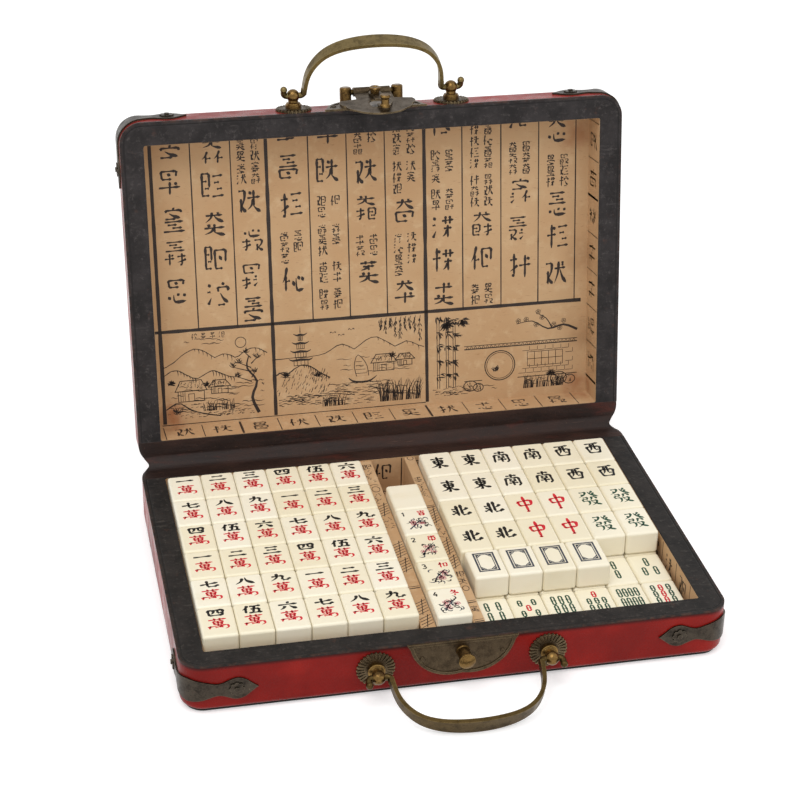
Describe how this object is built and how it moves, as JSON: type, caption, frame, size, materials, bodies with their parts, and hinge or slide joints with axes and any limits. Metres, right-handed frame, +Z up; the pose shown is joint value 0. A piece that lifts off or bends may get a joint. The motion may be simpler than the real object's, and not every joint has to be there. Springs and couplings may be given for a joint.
{
  "type": "mahjong case",
  "caption": "Hinged case for mahjong tiles, shown open: red leather outside, printed paper lining, two divider bars, brass handles, hasp and straps, filled with tiles.",
  "frame": {"origin": "centre of the base's underside, on the surface that the case lies on", "axes": "+X to the right seen from the front, +Y to the hinge side, +Z up"},
  "size_m": [0.239, 0.2454, 0.2194],
  "materials": {
    "frame_wood": "plain sawn board",
    "charcoal_cloth": "scuffed matt",
    "red_leather": "lacquered",
    "printed_paper": "kraft, printed in black",
    "divider_board": "paper covered",
    "brown_leather": "worn",
    "antique_brass": "antiqued",
    "dark_metal": "antiqued",
    "ivory_resin": "polished, engraved and painted"
  },
  "bodies": {
    "base": {"base_frame": "frame_wood", "base_floor_panel": "frame_wood", "base_underside": "charcoal_cloth", "base_side_covering": "red_leather", "base_rim": "charcoal_cloth", "base_floor_lining": "printed_paper", "base_wall_lining": "printed_paper", "base_divider_left": "divider_board", "base_divider_right": "divider_board", "hinge_strip": "brown_leather", "base_front_plate": "antique_brass", "base_plate_nails": "antique_brass", "base_knob": "antique_brass", "base_handle_rosettes": "antique_brass", "base_handle_posts": "antique_brass", "base_corner_straps": "dark_metal", "base_strap_nails": "dark_metal", "hinge_leaves_base": "antique_brass", "hinge_pins": "antique_brass", "hinge_nails_base": "antique_brass"},
    "lid": {"lid_frame": "frame_wood", "lid_panel": "frame_wood", "lid_covering": "red_leather", "lid_rim": "charcoal_cloth", "lid_panel_lining": "printed_paper", "lid_wall_lining": "printed_paper", "lid_handle_rosettes": "antique_brass", "lid_handle_posts": "antique_brass", "lid_corner_straps": "dark_metal", "lid_strap_nails": "dark_metal", "latch_leaf": "antique_brass", "latch_leaf_nails": "antique_brass", "latch_barrels": "antique_brass", "latch_rod": "antique_brass", "hinge_leaves_lid": "antique_brass", "hinge_nails_lid": "antique_brass"},
    "base_handle": {"base_handle_bail": "antique_brass"},
    "lid_handle": {"lid_handle_bail": "antique_brass"},
    "hasp": {"hasp_plate": "antique_brass", "hook_rivet": "antique_brass"},
    "hook": {"swivel_hook": "antique_brass", "hook_finger_knob": "antique_brass"},
    "circles": {"circles_lower": "ivory_resin"},
    "characters": {"characters_upper": "ivory_resin"},
    "bamboo": {"bamboo_lower": "ivory_resin"},
    "honours": {"honours_upper": "ivory_resin"},
    "whites": {"white_dragons": "ivory_resin"},
    "centre_under": {"centre_lower": "ivory_resin"},
    "centre_over": {"centre_upper": "ivory_resin"}
  },
  "joints": [
    {"name": "lid_hinge", "type": "hinge", "parent": "base", "child": "lid", "pos_m": [0, 0.082, 0.02365], "axis": [1, 0, 0], "range_deg": [0, 99.4], "deforming": ["hinge_strip"]},
    {"name": "base_handle_pivot", "type": "hinge", "parent": "base", "child": "base_handle", "pos_m": [0, -0.0886, 0.0135], "axis": [1, 0, 0], "range_deg": [-109.5, 0]},
    {"name": "lid_handle_pivot", "type": "hinge", "parent": "lid", "child": "lid_handle", "pos_m": [0, 0.1182, 0.19058], "axis": [1, 0, 0], "range_deg": [-116.5, 0]},
    {"name": "hasp_pivot", "type": "hinge", "parent": "lid", "child": "hasp", "pos_m": [0, 0.12118, 0.18958], "axis": [1, 0, 0], "range_deg": [-60, 0]},
    {"name": "hook_swivel", "type": "hinge", "parent": "hasp", "child": "hook", "pos_m": [0.0005, 0.11498, 0.18959], "axis": [0, -0.0017, -1], "range_deg": [-45, 0]},
    {"name": "circles_lift", "type": "slide", "parent": "base", "child": "circles", "axis": [0, 0, -1], "range_m": [-0.05, 0]},
    {"name": "characters_lift", "type": "slide", "parent": "circles", "child": "characters", "axis": [0, 0, -1], "range_m": [-0.05, 0]},
    {"name": "bamboo_lift", "type": "slide", "parent": "base", "child": "bamboo", "axis": [0, 0, -1], "range_m": [-0.05, 0]},
    {"name": "honours_lift", "type": "slide", "parent": "bamboo", "child": "honours", "axis": [0, 0, -1], "range_m": [-0.05, 0]},
    {"name": "whites_lift", "type": "slide", "parent": "bamboo", "child": "whites", "axis": [0, 0, -1], "range_m": [-0.05, 0]},
    {"name": "centre_under_lift", "type": "slide", "parent": "base", "child": "centre_under", "axis": [0, 0, -1], "range_m": [-0.05, 0]},
    {"name": "centre_over_lift", "type": "slide", "parent": "centre_under", "child": "centre_over", "axis": [0, 0, -1], "range_m": [-0.05, 0]}
  ]
}
